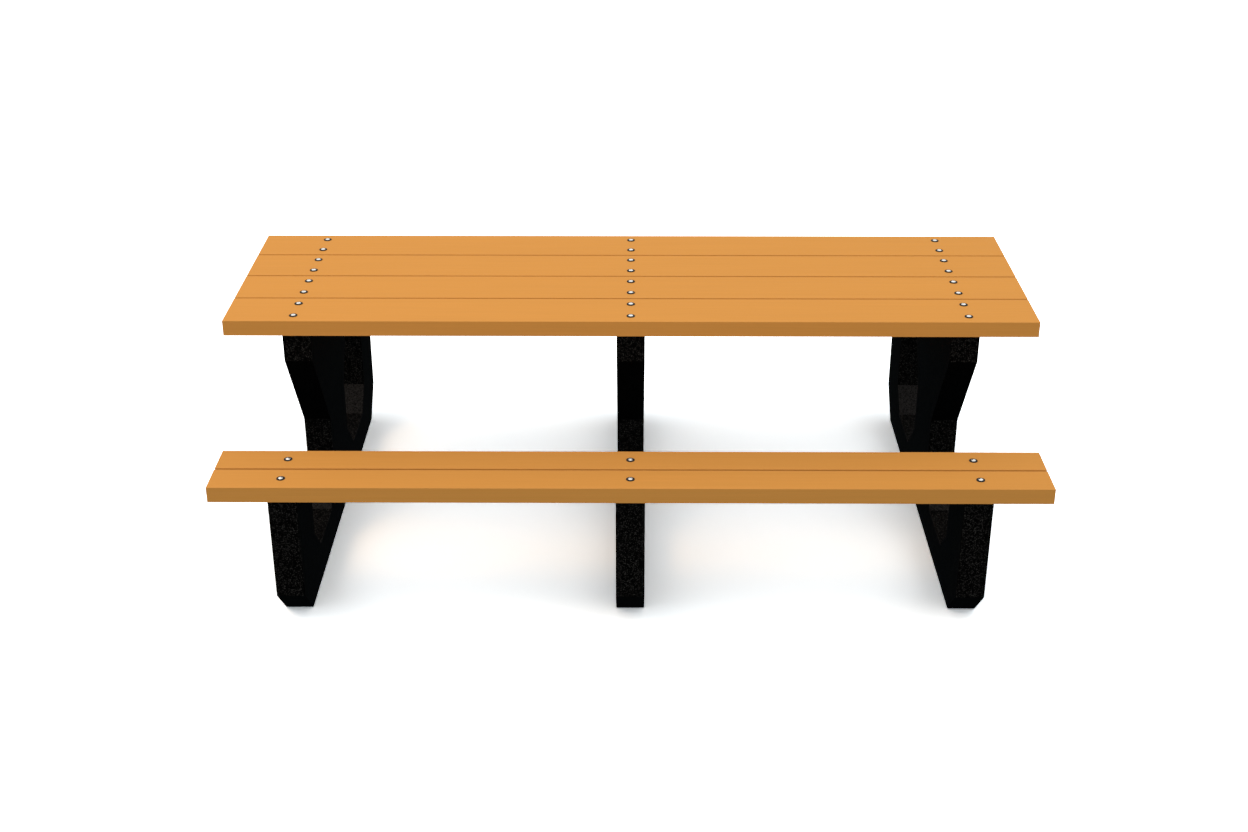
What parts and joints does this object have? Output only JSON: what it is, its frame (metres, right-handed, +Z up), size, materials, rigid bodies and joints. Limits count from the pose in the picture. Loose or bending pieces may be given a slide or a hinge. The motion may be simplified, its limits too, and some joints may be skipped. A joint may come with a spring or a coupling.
{
  "type": "picnic table",
  "caption": "Long picnic table with plank top and a fixed plank bench on each side, screwed down on notched slab legs.",
  "frame": {"origin": "on the ground, under the middle of the table top (bottom centre of the whole table)", "axes": "+X along the planks, +Y from the front bench to the rear bench, +Z up"},
  "size_m": [2.4384, 1.5154, 0.8299],
  "materials": {
    "cedar_plank": "cedar-coloured plastic lumber, faint lengthwise drawing lines, soft satin",
    "black_leg": "black moulded recycled plastic with a fine grey fleck, matte",
    "stainless_screw": "bright stainless steel domed heads",
    "black_washer": "black nylon"
  },
  "bodies": {
    "root": {"centre_front_seat_screws": "stainless_screw", "centre_front_seat_washers": "black_washer", "centre_leg": "black_leg", "centre_rear_seat_screws": "stainless_screw", "centre_rear_seat_washers": "black_washer", "centre_top_screws": "stainless_screw", "centre_top_washers": "black_washer", "front_inner_seat_plank": "cedar_plank", "front_inner_top_plank": "cedar_plank", "front_outer_seat_plank": "cedar_plank", "front_outer_top_plank": "cedar_plank", "left_front_seat_screws": "stainless_screw", "left_front_seat_washers": "black_washer", "left_leg": "black_leg", "left_rear_seat_screws": "stainless_screw", "left_rear_seat_washers": "black_washer", "left_top_screws": "stainless_screw", "left_top_washers": "black_washer", "rear_inner_seat_plank": "cedar_plank", "rear_inner_top_plank": "cedar_plank", "rear_outer_seat_plank": "cedar_plank", "rear_outer_top_plank": "cedar_plank", "right_front_seat_screws": "stainless_screw", "right_front_seat_washers": "black_washer", "right_leg": "black_leg", "right_rear_seat_screws": "stainless_screw", "right_rear_seat_washers": "black_washer", "right_top_screws": "stainless_screw", "right_top_washers": "black_washer"}
  },
  "joints": []
}
